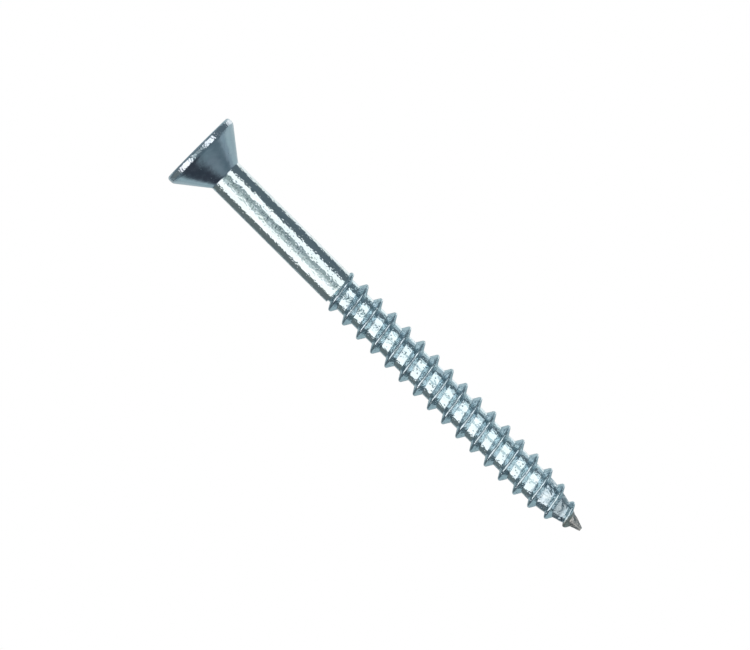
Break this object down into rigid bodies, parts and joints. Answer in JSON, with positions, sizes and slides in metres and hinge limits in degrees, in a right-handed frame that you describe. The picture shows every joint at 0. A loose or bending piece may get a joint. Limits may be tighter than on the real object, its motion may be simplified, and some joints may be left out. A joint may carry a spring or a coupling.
{
  "type": "wood screw",
  "caption": "Countersunk wood screw with a cross recess in its flat head, a plain shank, a coarse rolled thread and a gimlet point, for fixing into timber.",
  "frame": {"origin": "centre of the head's flat face, which lies level with the timber's surface once the screw is driven", "axes": "+Z along the screw's axis and out of the head, so the tip is at -Z; +X and +Y are across the axis, along the four wings of the recess"},
  "size_m": [0.01, 0.01, 0.0635],
  "materials": {
    "zinc_plate": "bright zinc plate with a faint blue passivate, smooth with fine lengthwise drawing marks",
    "bare_steel": "bare pinched steel, dull and slightly brown"
  },
  "bodies": {
    "root": {"head": "zinc_plate", "shank": "zinc_plate", "core": "zinc_plate", "thread": "zinc_plate", "point": "zinc_plate", "tip": "bare_steel"}
  },
  "joints": []
}
